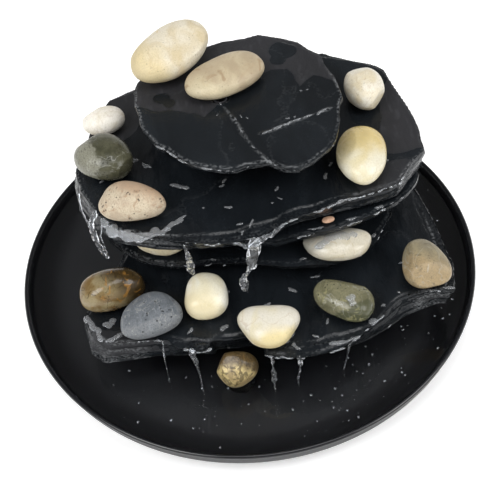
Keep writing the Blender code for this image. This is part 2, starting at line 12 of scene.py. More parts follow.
import bmesh
import bpy
import numpy as np
from mathutils import Matrix, Vector
from mathutils.bvhtree import BVHTree
from mathutils.kdtree import KDTree

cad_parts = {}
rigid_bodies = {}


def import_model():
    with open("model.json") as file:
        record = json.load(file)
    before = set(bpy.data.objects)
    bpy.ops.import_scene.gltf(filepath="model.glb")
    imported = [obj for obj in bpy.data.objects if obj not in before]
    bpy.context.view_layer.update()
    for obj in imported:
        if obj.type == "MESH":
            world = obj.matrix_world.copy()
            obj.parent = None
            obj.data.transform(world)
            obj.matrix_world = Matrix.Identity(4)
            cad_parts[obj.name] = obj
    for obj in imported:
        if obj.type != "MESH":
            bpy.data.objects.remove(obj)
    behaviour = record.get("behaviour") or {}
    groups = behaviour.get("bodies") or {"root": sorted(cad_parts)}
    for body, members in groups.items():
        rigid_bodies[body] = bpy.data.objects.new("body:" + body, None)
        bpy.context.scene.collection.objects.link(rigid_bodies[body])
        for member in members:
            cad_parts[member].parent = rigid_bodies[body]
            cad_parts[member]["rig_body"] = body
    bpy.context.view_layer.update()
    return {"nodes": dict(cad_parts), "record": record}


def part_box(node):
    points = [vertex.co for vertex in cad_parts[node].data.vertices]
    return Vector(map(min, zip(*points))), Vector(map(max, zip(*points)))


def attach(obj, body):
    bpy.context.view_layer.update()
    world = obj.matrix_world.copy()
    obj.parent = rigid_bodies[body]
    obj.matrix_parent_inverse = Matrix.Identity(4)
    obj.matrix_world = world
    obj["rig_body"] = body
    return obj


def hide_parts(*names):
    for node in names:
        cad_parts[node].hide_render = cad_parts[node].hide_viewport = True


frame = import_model()

MM = 0.001
WATER_LEVEL = 34 * MM
STACK_SLABS = ("lower_slab", "mid_slab", "thin_slab", "upper_slab", "top_slab")
SLOTS = {part["node"]: part["material_slot"] for part in frame["record"]["subparts"]}
BODY_OF = {node: obj["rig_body"] for node, obj in frame["nodes"].items()}


def srgb(red, green, blue):
    """The linear colour of a displayed one, given from 0 to 255."""
    parts = (c / 255 for c in (red, green, blue))
    return tuple(c / 12.92 if c < 0.04 else ((c + 0.055) / 1.055) ** 2.4 for c in parts) + (1.0,)


def linked(name, data):
    """A new object in the scene."""
    obj = bpy.data.objects.new(name, data)
    bpy.context.scene.collection.objects.link(obj)
    return obj


# Camera, stage and lights --------------------

CAMERA_ELEVATION = 51.745  # degrees, as is the roll
CAMERA_DISTANCE = 0.99227
CAMERA_AIM = Vector((0.00405, -0.03074, 0.1))
CAMERA_ROLL = -6.17
CAMERA_LENS = 72
FLOOR_RADIUS = 4.0
FLOOR_FLAT = 2.2
FLOOR_RISE = 1.6
FLOOR_STEPS = 8
FLOOR_GLOW = 0.3  # a little light of its own, as on a light table
LAMP_AIM = Vector((0, 0, 0.1))
LAMPS = {  # where each lamp is, how wide, and its power
    "key": ((-1.1, -0.8, 1.7), 1.3, 30),
    "fill": ((1.3, -0.6, 1.4), 1.2, 20),
    "top": ((0.2, -0.3, 2.6), 1.2, 16),
}
SKY_LIGHT = 0.24


def make_camera():
    """Looks down on the front of the fountain, rolled a little clockwise."""
    elevation = math.radians(CAMERA_ELEVATION)
    place = Vector((0, -CAMERA_DISTANCE * math.cos(elevation), CAMERA_DISTANCE * math.sin(elevation)))
    forward = (CAMERA_AIM - place).normalized()
    right = forward.cross(Vector((0, 0, 1))).normalized()
    turn = Matrix.Rotation(-math.radians(CAMERA_ROLL), 3, forward)
    right = turn @ right
    axes = Matrix((right, right.cross(forward), -forward)).transposed()
    data = bpy.data.cameras.new("camera")
    data.lens = CAMERA_LENS
    camera = linked("camera", data)
    camera.matrix_world = Matrix.Translation(place) @ axes.to_4x4()
    bpy.context.scene.camera = camera


def make_floor():
    """A pale sweep: flat under the fountain and curving up far away."""
    profile = [(0, 0), (FLOOR_FLAT, 0)]
    for step in range(1, FLOOR_STEPS + 1):
        angle = math.pi / 2 * step / FLOOR_STEPS
        profile.append((FLOOR_FLAT + (FLOOR_RADIUS - FLOOR_FLAT) * math.sin(angle),
                        FLOOR_RISE * (1 - math.cos(angle))))
    floor = turned("studio_floor", profile, 96)
    floor.data.materials.append(floor_material())


def floor_material():
    """Pale matt paper with the faintest clouding."""
    material, nodes, shader = new_material("pale_paper")
    shader.inputs["Roughness"].default_value = 0.9
    shader.inputs["Specular IOR Level"].default_value = 0.1
    shader.inputs["Emission Color"].default_value = (1, 1, 1, 1)
    shader.inputs["Emission Strength"].default_value = FLOOR_GLOW
    cloud = noise_node(nodes, 40, 3)
    tint = mix_node(nodes, cloud, (0.93, 0.93, 0.93, 1), (0.96, 0.96, 0.96, 1))
    nodes.link(tint, shader.inputs["Base Color"])
    return material


def area_light(name, place, size, power):
    """A round soft lamp that looks at the fountain and isn't seen itself."""
    data = bpy.data.lights.new(name, "AREA")
    data.shape = "DISK"
    data.size = size
    data.energy = power
    light = linked(name, data)
    light.location = place
    light.rotation_mode = "QUATERNION"
    light.rotation_quaternion = (LAMP_AIM - Vector(place)).to_track_quat("-Z", "Y")
    light.visible_camera = False


def make_lights():
    """Three soft lamps and an even white sky."""
    for name, (place, size, power) in LAMPS.items():
        area_light(name, place, size, power)
    world = bpy.data.worlds.new("studio")
    world.use_nodes = True
    sky = world.node_tree.nodes["Background"]
    sky.inputs["Color"].default_value = (1, 1, 1, 1)
    sky.inputs["Strength"].default_value = SKY_LIGHT
    bpy.context.scene.world = world
    bpy.context.scene.view_settings.view_transform = "Standard"


# Shader helpers --------------------


class Nodes:
    """A material's node tree with short ways to add and link nodes."""

    def __init__(self, tree):
        self.tree = tree
        self.coordinates = tree.nodes.new("ShaderNodeTexCoord").outputs["Object"]

    def add(self, kind, **settings):
        node = self.tree.nodes.new("ShaderNode" + kind)
        for name, value in settings.items():
            setattr(node, name, value)
        return node

    def link(self, output, socket):
        self.tree.links.new(output, socket)


def new_material(name):
    """A material, its node helper and its Principled shader."""
    material = bpy.data.materials.new(name)
    material.use_nodes = True
    shader = material.node_tree.nodes["Principled BSDF"]
    return material, Nodes(material.node_tree), shader


def placed(nodes, scale=(1, 1, 1), shift=(0, 0, 0), turn=0.0):
    """Object coordinates turned about Z, then stretched and shifted."""
    mapping = nodes.add("Mapping")
    mapping.inputs["Scale"].default_value = scale
    mapping.inputs["Location"].default_value = shift
    mapping.inputs["Rotation"].default_value = (0, 0, turn)
    nodes.link(nodes.coordinates, mapping.inputs["Vector"])
    return mapping.outputs["Vector"]


def noise_node(nodes, scale, detail, vector=None, distortion=0.0):
    """Noise from 0 to 1, scale lumps per metre."""
    noise = nodes.add("TexNoise")
    noise.inputs["Scale"].default_value = scale
    noise.inputs["Detail"].default_value = detail
    noise.inputs["Distortion"].default_value = distortion
    nodes.link(vector or nodes.coordinates, noise.inputs["Vector"])
    return noise.outputs["Fac"]


def ramp_node(nodes, value, low, high):
    """0 below low and 1 above high, or the other way round if low is the greater."""
    ramp = nodes.add("MapRange", interpolation_type="SMOOTHSTEP")
    ramp.inputs["From Min"].default_value = min(low, high)
    ramp.inputs["From Max"].default_value = max(low, high)
    ramp.inputs["To Min"].default_value = float(low > high)
    ramp.inputs["To Max"].default_value = float(low <= high)
    nodes.link(value, ramp.inputs["Value"])
    return ramp.outputs["Result"]


def range_node(nodes, value, low, high):
    """A value from 0 to 1 stretched to run from low to high."""
    ramp = nodes.add("MapRange")
    ramp.inputs["To Min"].default_value = low
    ramp.inputs["To Max"].default_value = high
    nodes.link(value, ramp.inputs["Value"])
    return ramp.outputs["Result"]


def mix_node(nodes, factor, first, second):
    """first where factor is 0, second where it is 1; each is a colour or an output."""
    mix = nodes.add("Mix", data_type="RGBA")
    nodes.link(factor, mix.inputs["Factor"])
    for socket, colour in ((mix.inputs[6], first), (mix.inputs[7], second)):
        if isinstance(colour, tuple):
            socket.default_value = colour
        else:
            nodes.link(colour, socket)
    return mix.outputs[2]


def math_node(nodes, operation, first, second):
    """A sum, product or other operation on two numbers or outputs."""
    node = nodes.add("Math", operation=operation)
    for socket, value in zip(node.inputs, (first, second)):
        if isinstance(value, (int, float)):
            socket.default_value = value
        else:
            nodes.link(value, socket)
    return node.outputs[0]


def bump(nodes, shader, heights):
    """Adds up (height output, depth in metres) pairs as relief on the shader's normal."""
    normal = None
    for height, depth in heights:
        node = nodes.add("Bump")
        node.inputs["Distance"].default_value = depth
        nodes.link(height, node.inputs["Height"])
        if normal:
            nodes.link(normal, node.inputs["Normal"])
        normal = node.outputs["Normal"]
    nodes.link(normal, shader.inputs["Normal"])


# Mesh helpers --------------------


def new_piece(name, mesh, material, body=None, node=None):
    """Shows a mesh as a smooth piece. It rides on the body, or stands for the CAD node on its body."""
    mesh.name = name
    mesh.materials.clear()
    mesh.materials.append(material)
    mesh.shade_smooth()
    obj = linked(name, mesh)
    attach(obj, body or BODY_OF[node])
    if node:
        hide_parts(node)
    return obj


def applied(mesh, *modifiers):
    """The mesh with modifiers applied; each is (type, settings)."""
    source = linked("source", mesh)
    for kind, settings in modifiers:
        modifier = source.modifiers.new(kind, kind)
        for name, value in settings.items():
            setattr(modifier, name, value)
    graph = bpy.context.evaluated_depsgraph_get()
    made = bpy.data.meshes.new_from_object(source.evaluated_get(graph))
    bpy.data.objects.remove(source)
    return made


def finished(bm, name):
    """A mesh made from a bmesh, which is then freed."""
    mesh = bpy.data.meshes.new(name)
    bm.to_mesh(mesh)
    bm.free()
    return mesh


def cad_mesh(node):
    """A copy of a CAD node's mesh with its split vertices joined."""
    bm = bmesh.new()
    bm.from_mesh(frame["nodes"][node].data)
    bmesh.ops.remove_doubles(bm, verts=bm.verts, dist=0.005 * MM)
    return finished(bm, node)


def turned(name, profile, steps):
    """An object made by turning a profile of (radius, height) points about Z."""
    bm = bmesh.new()
    verts = [bm.verts.new((radius, 0, height)) for radius, height in profile]
    edges = [bm.edges.new(pair) for pair in zip(verts, verts[1:])]
    bmesh.ops.spin(bm, geom=verts + edges, cent=(0, 0, 0), axis=(0, 0, 1), angle=2 * math.pi,
                   steps=steps, use_merge=True)
    bmesh.ops.remove_doubles(bm, verts=bm.verts, dist=0.001 * MM)
    bmesh.ops.recalc_face_normals(bm, faces=bm.faces)
    mesh = finished(bm, name)
    mesh.shade_smooth()
    return linked(name, mesh)


def rows_of(items, key):
    """A vector that each item of a mesh holds, as rows of three."""
    found = np.empty(len(items) * 3, np.float32)
    items.foreach_get(key, found)
    return found.reshape(-1, 3).astype(float)


def points_of(mesh):
    return rows_of(mesh.vertices, "co")


def set_points(mesh, points):
    mesh.vertices.foreach_set("co", points.astype(np.float32).ravel())
    mesh.update()


def set_attribute(mesh, name, values):
    """Stores a number at each point, for a material to read."""
    attribute = mesh.attributes.new(name, "FLOAT", "POINT")
    attribute.data.foreach_set("value", values.astype(np.float32))


def hashed(cells, seed):
    """A repeatable number from 0 to 1 for each cell of three whole numbers."""
    mixed = (cells @ np.array((374761393, 668265263, 2147483629)) + seed * 1274126177) & 0x7FFFFFFF
    mixed = ((mixed ^ (mixed >> 13)) * 1274126177) & 0x7FFFFFFF
    return (mixed ^ (mixed >> 16)) / 0x7FFFFFFF


def lumps(points, size, seed, octaves=3):
    """Smooth noise from -1 to 1 whose largest lumps are size across; size may differ by axis."""
    total = np.zeros(len(points))
    weight = 1.0
    for octave in range(octaves):
        spread = points / size * 2**octave + 31.7 * octave
        cell = np.floor(spread).astype(np.int64)
        part = spread - cell
        ease = part * part * (3 - 2 * part)
        for corner in np.ndindex(2, 2, 2):
            share = np.prod(np.where(corner, ease, 1 - ease), axis=1)
            total += weight * share * (2 * hashed(cell + corner, seed + octave) - 1)
        weight *= 0.5
    return total / (2 - 2 * weight)


def smooth_step(values, low, high):
    """0 below low, 1 above high and an eased rise between."""
    part = np.clip((values - low) / (high - low), 0, 1)
    return part * part * (3 - 2 * part)


# Slate --------------------

# Where a slab's top has dried to grey: how dry from 0 to 1, then an outline in millimetres.
DRY_AREAS = {
    "top_slab": (
        (1.0, ((112, 36), (99, 38), (94, 50), (75, 60), (62, 46), (54, 72), (40, 72), (20, 60), (-10, 36),
               (-23, 22), (-42, 34), (-65, 38), (-77, 46), (-95, 60), (-95, 140), (112, 140))),
    ),
    "upper_slab": (
        (1.0, ((134, 70), (131, 37), (126, 11), (132, -2), (144, -1), (175, 6), (175, 90), (150, 100))),
        (0.7, ((96, -32), (122, -14), (150, -16), (150, -34), (125, -46), (102, -50))),
        (0.8, ((-140, 40), (-112, 34), (-88, 60), (-70, 92), (-80, 140), (-140, 140))),
    ),
    "lower_slab": (
        (0.12, ((122, 40), (150, -20), (168, -60), (195, -90), (195, 60), (120, 140))),
        (0.6, ((-150, -96), (-120, -96), (-84, -104), (-84, -130), (-150, -130))),
    ),
}
# Damp spots inside the dry areas, and where the broken edge is paler, from paler layers on its side and a
# painted highlight along its top rim: x, y and radius in mm.
DAMP_SPOTS = {"top_slab": ((52, 98, 13), (47, 86, 8), (-58, 51, 9), (-52, 44, 7))}
PALE_EDGES = {
    "top_slab": ((-78, 20, 60), (92, 30, 40), (58, -52, 30), (-10, -52, 70)),
    "upper_slab": ((-128, -20, 52), (-84, -72, 34), (150, -26, 22)),
    "mid_slab": ((-86, -48, 40),),
    "lower_slab": ((-128, -104, 46), (168, -90, 40), (182, -30, 30)),
}
# Ridges left where the top slab split: the line, in millimetres.
RIDGES = {
    "top_slab": (
        ((-14, 42), (-5, 30), (3, 12), (8, -5), (16, -24), (23, -36), (31, -44)),
        ((22, -7), (35, -4), (48, 2), (61, 6), (86, 15)),
    ),
}
RIDGE_WIDTH = 1.1 * MM
RIDGE_HEIGHT = 0.9 * MM
SHORE = 0.009  # how far the border of a dry area wanders
SLAB_VOXEL = 1.25 * MM
THIN_SLAB = 12 * MM  # thinner slabs than this split into THIN_LAYERS
THIN_LAYERS = 3
THICK_LAYERS = 7
BLOCK_VOXEL = 2 * MM
BLOCK_LAYER = 5 * MM
BLOCK_RECESS = 2 * MM
BLOCK_RELIEF = 1 * MM
# Pale grey on broken edges: partly chipped stone, partly a painted highlight along rims and ridges.
CHIPS_AND_HIGHLIGHT = srgb(128, 130, 132)
STONES = {}  # each finished stone's surface, and a slab's rim, for laying water on it


def shade(colour, factor):
    """A linear colour made lighter or darker."""
    return tuple(factor * c for c in colour[:3]) + (1.0,)


def slate_material(name, wet, dry):
    """Split slate: near black and glossy where wet, grey and chalky where dry, paler on fresh edges, where
    the pale is partly chipped stone and partly a painted highlight along rims and ridges.
    """
    material, nodes, shader = new_material(name)
    shader.inputs["Specular IOR Level"].default_value = 0.27
    dry_mask = nodes.add("Attribute", attribute_name="dry").outputs["Fac"]
    edge_mask = nodes.add("Attribute", attribute_name="edge").outputs["Fac"]
    grain = placed(nodes, (1, 0.35, 1), turn=0.5)
    cloud = noise_node(nodes, 26, 5, grain, 0.6)
    streak = noise_node(nodes, 160, 6, grain)
    damp = mix_node(nodes, ramp_node(nodes, cloud, 0.35, 0.7), wet, shade(wet, 1.8))
    bare = mix_node(nodes, ramp_node(nodes, cloud, 0.3, 0.7), shade(dry, 0.7), dry)
    bare = mix_node(nodes, ramp_node(nodes, streak, 0.52, 0.72), bare, shade(dry, 1.35))
    body = mix_node(nodes, dry_mask, damp, bare)
    # Pale edge colour: chipped stone, and a painted highlight on the rim's crest and on the ridges.
    crumbs = noise_node(nodes, 420, 6, placed(nodes, (1, 1, 2.5)))
    chips_and_highlight = math_node(nodes, "MULTIPLY", edge_mask, ramp_node(nodes, crumbs, 0.42, 0.6))
    nodes.link(mix_node(nodes, chips_and_highlight, body, CHIPS_AND_HIGHLIGHT), shader.inputs["Base Color"])
    glossy = range_node(nodes, noise_node(nodes, 90, 4, grain), 0.06, 0.34)
    chalky = range_node(nodes, streak, 0.5, 0.75)
    rough = nodes.add("Mix", data_type="FLOAT")
    nodes.link(dry_mask, rough.inputs["Factor"])
    nodes.link(glossy, rough.inputs[2])
    nodes.link(chalky, rough.inputs[3])
    nodes.link(rough.outputs[0], shader.inputs["Roughness"])
    bump(nodes, shader, ((cloud, 2.2 * MM), (streak, 0.7 * MM), (noise_node(nodes, 900, 3), 0.12 * MM)))
    return material


def segments(line, closed=False):
    """Each pair of neighbouring points of a line."""
    return zip(line, line[1:] + line[:1]) if closed else zip(line, line[1:])


def line_gap(points, line, closed=False):
    """How far each point is from a line, in plan."""
    nearest = np.full(len(points), 1e9)
    for start, end in segments(line, closed):
        start, run = np.array(start), np.subtract(end, start)
        share = np.clip((points[:, :2] - start) @ run / (run @ run), 0, 1)
        gap = points[:, :2] - start - share[:, None] * run
        nearest = np.minimum(nearest, np.hypot(gap[:, 0], gap[:, 1]))
    return nearest


def depth_inside(points, outline):
    """How deep each point lies inside a closed outline, in plan; negative outside it."""
    inside = np.zeros(len(points), bool)
    for (ax, ay), (bx, by) in segments(outline, True):
        crosses = (ay > points[:, 1]) != (by > points[:, 1])
        where = ax + (points[:, 1] - ay) * (bx - ax) / (by - ay if by != ay else 1e-9)
        inside ^= crosses & (points[:, 0] < where)
    return line_gap(points, outline, True) * np.where(inside, 1, -1)


def in_metres(line):
    return tuple((x * MM, y * MM) for x, y in line)


def rim_gap(points, normals):
    """How far each point of a stone's flat faces is from its broken edge, in plan; 0 on that edge."""
    side = np.flatnonzero(np.abs(normals[:, 2]) < 0.6)
    tree = KDTree(len(side))
    for place, index in enumerate(side):
        tree.insert((points[index, 0], points[index, 1], 0), place)
    tree.balance()
    gap = np.zeros(len(points))
    for index in np.flatnonzero(np.abs(normals[:, 2]) >= 0.6):
        gap[index] = tree.find((points[index, 0], points[index, 1], 0))[2]
    return gap


def spot_gap(points, x, y):
    """How far each point is from a spot given in mm, in plan."""
    return np.hypot(points[:, 0] - x * MM, points[:, 1] - y * MM)


def dryness(node, points, plan, seed):
    """From 0 where water keeps a slab's top wet to 1 where it has dried."""
    shore = SHORE * lumps(plan, 0.028, seed, 4)
    dry = np.zeros(len(points))
    for amount, outline in DRY_AREAS.get(node, ()):
        depth = depth_inside(points, in_metres(outline)) + shore
        dry = np.maximum(dry, amount * smooth_step(depth, -0.0012, 0.0012))
    for x, y, radius in DAMP_SPOTS.get(node, ()):
        gap = spot_gap(points, x, y) + 0.6 * shore
        dry *= smooth_step(gap, radius * MM - 0.001, radius * MM + 0.001)
    return dry


def paleness(node, points):
    """How pale a slab's broken edge is: strong near the places in PALE_EDGES, faint elsewhere."""
    pale = np.full(len(points), 0.12)
    for x, y, radius in PALE_EDGES.get(node, ()):
        faint = smooth_step(spot_gap(points, x, y), 0.5 * radius * MM, radius * MM)
        pale = np.maximum(pale, 1 - faint)
    return pale


def layer_depth(points, layer, seed):
    """How far each layer of a broken side is set back, from 0 to about 1."""
    warp = 0.8 * layer * lumps(points * (1, 1, 0), 0.05, seed)
    level = (points[:, 2] + warp) / layer
    strata = np.column_stack((points[:, 0] / 0.028, points[:, 1] / 0.028, np.floor(level)))
    return 0.5 + 0.5 * lumps(strata, 1, seed + 10, 2) + 0.2 * lumps(points, 0.006, seed + 20, 2)


def worn_off(plan, height, rim, seed):
    """How much a flat face has lost, from 0 to about 1: in shallow steps, in flakes along its rim and in
    ripples."""
    steps = np.floor(height) + smooth_step(height % 1, 0.0, 0.07)
    sunk = np.clip(0.5 - 0.5 * steps, 0, 1.5)
    flake_width = 0.0015 + 0.008 * lumps(plan, 0.03, seed + 40)
    flaked = 1 - smooth_step(rim, flake_width - 0.0006, flake_width + 0.0006)
    ripple = 0.5 + 0.5 * lumps(plan * (1, 2.2, 1), 0.016, seed + 50)
    return 0.5 * sunk + 0.7 * flaked * (0.4 + ripple) + 0.3 * ripple


def ridge_share(node, points, normals, plan, seed):
    """1 on the crest of the ridges left on a slab's top, falling to 0 beside them."""
    ridge = np.zeros(len(points))
    for line in RIDGES.get(node, ()):
        gap = line_gap(points, in_metres(line)) + 0.0015 * lumps(plan, 0.008, seed + 70)
        ridge = np.maximum(ridge, np.exp(-((gap / RIDGE_WIDTH) ** 2)) * (normals[:, 2] > 0))
    return ridge


def split_stone(node, mesh, seed, layer, recess, relief):
    """Breaks a stone's sides into layers and its flat faces into shallow steps, and marks where it is
    dry and where it is pale."""
    points = points_of(mesh)
    normals = rows_of(mesh.vertex_normals, "vector")
    rim = rim_gap(points, normals)
    across = np.hypot(normals[:, 0], normals[:, 1])
    side = smooth_step(across, 0.45, 0.9)
    flat = smooth_step(np.abs(normals[:, 2]), 0.5, 0.85)
    facing_up = smooth_step(normals[:, 2], 0.25, 0.7)

    depth = layer_depth(points, layer, seed)
    outward = normals[:, :2] / np.maximum(across, 1e-6)[:, None]
    points[:, :2] -= outward * (side * recess * depth)[:, None]
    plan = points * (1, 0.6, 0) + (0, 0, 3 * seed)
    height = 1.6 * lumps(plan, 0.075, seed + 30, 4)
    ridge = ridge_share(node, points, normals, plan, seed)
    lift = RIDGE_HEIGHT * ridge - relief * worn_off(plan, height, rim, seed)
    points[:, 2] += np.sign(normals[:, 2]) * flat * lift
    set_points(mesh, points)

    pale = paleness(node, points)
    # The crest is a thin pale line just inside the top rim: partly chipping, partly a painted highlight on
    # the edge.
    crest = np.exp(-(((rim - 0.0014) / 0.0008) ** 2)) * facing_up * (0.1 + 0.55 * pale)
    risers = np.exp(-(((height % 1) / 0.04) ** 2)) * flat * 0.05
    shelf = (1 - facing_up) * smooth_step(depth, 0.35, 0.6) * smooth_step(pale, 0.12, 1) * 0.4
    set_attribute(mesh, "dry", dryness(node, points, plan, seed + 60) * (normals[:, 2] > 0.2))
    # Half of each ridge is painted pale too: a painted highlight where water on the ridge catches the light.
    set_attribute(mesh, "edge", np.clip(crest + risers + shelf + 0.5 * ridge, 0, 1))
    top_rim = (rim > 0) & (rim < 0.0016) & (normals[:, 2] > 0.5)
    STONES[node] = {"rim": points[top_rim]}


def layering(node):
    """A stone's remesh size, the thickness of its layers, how deep its side is broken and how much its
    faces are worn."""
    if node not in STACK_SLABS:
        return BLOCK_VOXEL, BLOCK_LAYER, BLOCK_RECESS, BLOCK_RELIEF
    low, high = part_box(node)
    thick = high.z - low.z
    layers = THIN_LAYERS if thick < THIN_SLAB else THICK_LAYERS
    return SLAB_VOXEL, thick / layers, min(0.16 * thick, 3.2 * MM), min(0.12 * thick, 1.6 * MM)


def make_slabs():
    """Every slab and spacing stone, remeshed from its CAD solid and split along the slate's layers."""
    slab_look = slate_material("wet_slate", srgb(17, 20, 23), srgb(39, 39, 42))
    block_look = slate_material("dark_slate", srgb(14, 16, 18), srgb(30, 30, 32))
    for index, node in enumerate(SLOTS):
        if SLOTS[node] not in ("slate_wet", "slate_dark"):
            continue
        voxel, layer, recess, relief = layering(node)
        mesh = applied(cad_mesh(node), ("REMESH", {"mode": "VOXEL", "voxel_size": voxel}))
        split_stone(node, mesh, 7 * index + 3, layer, recess, relief)
        look = slab_look if node in STACK_SLABS else block_look
        stone = new_piece(node + "_stone", mesh, look, node=node)
        STONES[node]["tree"] = surface_of(stone)


def surface_of(obj):
    """A piece's surface, for finding where water lies on it."""
    return BVHTree.FromObject(obj, bpy.context.evaluated_depsgraph_get())


# Pebbles --------------------

# Each pebble's main, second and blotch colours, its share of blotches, lumps per metre, how pitted and
# how veined it is, and its roughness.
PEBBLES = {
    "ivory_long": ((213, 205, 186), (198, 183, 150), (200, 170, 110), 0.2, 45, 0.3, 0.15, 0.5),
    "tan_oval": ((166, 150, 124), (182, 168, 140), (146, 122, 92), 0.4, 40, 0.25, 0.1, 0.42),
    "ivory_round": ((221, 216, 202), (208, 196, 168), (176, 146, 108), 0.2, 60, 0.3, 0.3, 0.45),
    "yellow_egg": ((213, 208, 188), (206, 194, 156), (192, 166, 98), 0.2, 36, 0.1, 0.1, 0.26),
    "white_small": ((227, 222, 212), (214, 207, 190), (178, 164, 136), 0.2, 70, 0.2, 0.2, 0.45),
    "grey_green": ((80, 79, 62), (60, 60, 45), (44, 41, 31), 0.3, 60, 0.5, 0.3, 0.25),
    "pink_beige": ((190, 177, 154), (176, 160, 138), (150, 122, 96), 0.4, 90, 1.0, 0.05, 0.6),
    "cream_flat": ((224, 215, 192), (214, 200, 166), (194, 168, 124), 0.2, 50, 0.1, 0.3, 0.4),
    "ivory_wet": ((196, 190, 174), (182, 173, 150), (162, 144, 110), 0.25, 55, 0.2, 0.2, 0.12),
    "tan_corner": ((142, 132, 106), (124, 116, 96), (92, 84, 66), 0.4, 60, 0.4, 0.35, 0.42),
    "brown_banded": ((136, 124, 94), (104, 82, 46), (146, 104, 46), 0.4, 60, 0.1, 0.6, 0.06),
    "blue_grey": ((104, 108, 113), (86, 91, 96), (126, 130, 134), 0.4, 90, 1.0, 0.35, 0.5),
    "cream_upright": ((226, 223, 210), (220, 212, 184), (210, 194, 140), 0.2, 36, 0.05, 0.05, 0.24),
    "cream_wide": ((208, 203, 190), (206, 197, 168), (200, 178, 120), 0.2, 42, 0.1, 0.25, 0.32),
    "olive": ((120, 117, 92), (98, 96, 74), (140, 136, 98), 0.4, 75, 0.9, 0.35, 0.2),
    "mottled": ((200, 181, 128), (146, 128, 90), (52, 43, 28), 0.6, 90, 0.4, 0.2, 0.3),
    "wedge": ((196, 160, 134), (180, 142, 116), (150, 112, 86), 0.3, 200, 0.2, 0.1, 0.4),
}
# A pebble's other tone: the side it covers, where its border falls (-1 far side to 1 near side), how
# soft the border is, and the tone's colour. On grey_green the pale tone on the left side is painted
# light; on brown_banded the dark tone on the right side is partly its colour and partly painted shade.
TONES_AND_PAINTED_LIGHT = {
    "ivory_long": ((-0.8, -0.6, 0), 0.55, 0.3, (206, 190, 150)),
    "tan_oval": ((-0.4, -0.9, 0), 0.62, 0.2, (194, 182, 152)),
    "yellow_egg": ((0.1, 0.9, 0.3), 0.2, 0.5, (204, 182, 122)),
    # Painted light: the pale tone lights the left side.
    "grey_green": ((-1, -0.25, 0.1), 0.36, 0.05, (128, 127, 113)),
    "pink_beige": ((0.5, 0.7, 0.4), 0.3, 0.4, (172, 146, 120)),
    "ivory_wet": ((-0.6, 0.6, 0.3), 0.15, 0.3, (168, 165, 154)),
    "tan_corner": ((-0.4, -1, 0), 0.1, 0.4, (160, 140, 106)),
    # Partly its colour, partly painted shade: the dark tone on the right side, leaving the left end pale as
    # a painted sheen.
    "brown_banded": ((0.9, 0.5, 0.2), 0.05, 0.45, (58, 46, 27)),
    "blue_grey": ((0.15, -1, -0.15), 0.5, 0.04, (116, 119, 122)),
    "cream_upright": ((-0.5, -0.8, 0), 0.35, 0.4, (220, 208, 172)),
    "cream_wide": ((0.3, -1, -0.1), 0.45, 0.35, (212, 196, 148)),
    "olive": ((0.1, -1, -0.2), 0.5, 0.06, (78, 80, 58)),
    "mottled": ((0.3, 0.8, 0.5), 0.02, 0.25, (84, 68, 42)),
}
# How box-like a pebble is (2 is a ball, 4 nearly a box) and how many flats are worn on it; the rest
# have USUAL_WEAR.
WORN = {
    "cream_upright": (2.5, 0),
    "cream_wide": (2.35, 0),
    "pink_beige": (2.05, 0),
    "blue_grey": (2.2, 1),
    "grey_green": (2.2, 4),
    "mottled": (2.0, 3),
    "tan_corner": (2.3, 2),
    "tan_oval": (2.3, 0),
    "ivory_wet": (2.3, 0),
    "olive": (2.4, 3),
    "brown_banded": (2.3, 0),
    "ivory_round": (2.2, 2),
}
USUAL_WEAR = (2.15, 1)
WHITE_VEIN = (176, 176, 168)
TAN_VEIN = (150, 112, 66)
DARK_VEIN = (30, 24, 16)
PALE_STONE = 420  # red, green and blue added up
PIT_CELLS = 330  # per metre


def vein_colour(name, main):
    """Tan veins in a pale pebble, dark ones in the brown banded pebble and white ones in the rest."""
    if sum(main) > PALE_STONE:
        return srgb(*TAN_VEIN)
    return srgb(*(DARK_VEIN if name == "brown_banded" else WHITE_VEIN))


def vein_lines(nodes, place, scale, amount):
    """Thin wandering lines, drawn where a noise passes its middle value."""
    ribbon = noise_node(nodes, scale * 0.8, 3, place, 0.9)
    seam = math_node(nodes, "ABSOLUTE", math_node(nodes, "SUBTRACT", ribbon, 0.5), 0)
    return math_node(nodes, "MULTIPLY", ramp_node(nodes, seam, 0.012, 0.002), amount)


def pit_holes(nodes, place, amount):
    """Small round pits in scattered groups."""
    cells = nodes.add("TexVoronoi")
    cells.inputs["Scale"].default_value = PIT_CELLS
    nodes.link(nodes.coordinates, cells.inputs["Vector"])
    hole = ramp_node(nodes, cells.outputs["Distance"], 0.34, 0.12)
    group = ramp_node(nodes, noise_node(nodes, 130, 2, place), 0.5, 0.6)
    return math_node(nodes, "MULTIPLY", math_node(nodes, "MULTIPLY", hole, group), amount)


def toned(nodes, name, cloud, colour):
    """The colour with the pebble's other tone over it, where it has one; on two pebbles that tone is painted
    light and shade.
    """
    if name not in TONES_AND_PAINTED_LIGHT:
        return colour
    tone = srgb(*TONES_AND_PAINTED_LIGHT[name][3])
    covered = nodes.add("Attribute", attribute_name="tone").outputs["Fac"]
    clouded = mix_node(nodes, ramp_node(nodes, cloud, 0.35, 0.7), tone, shade(tone, 0.85))
    return mix_node(nodes, covered, colour, clouded)


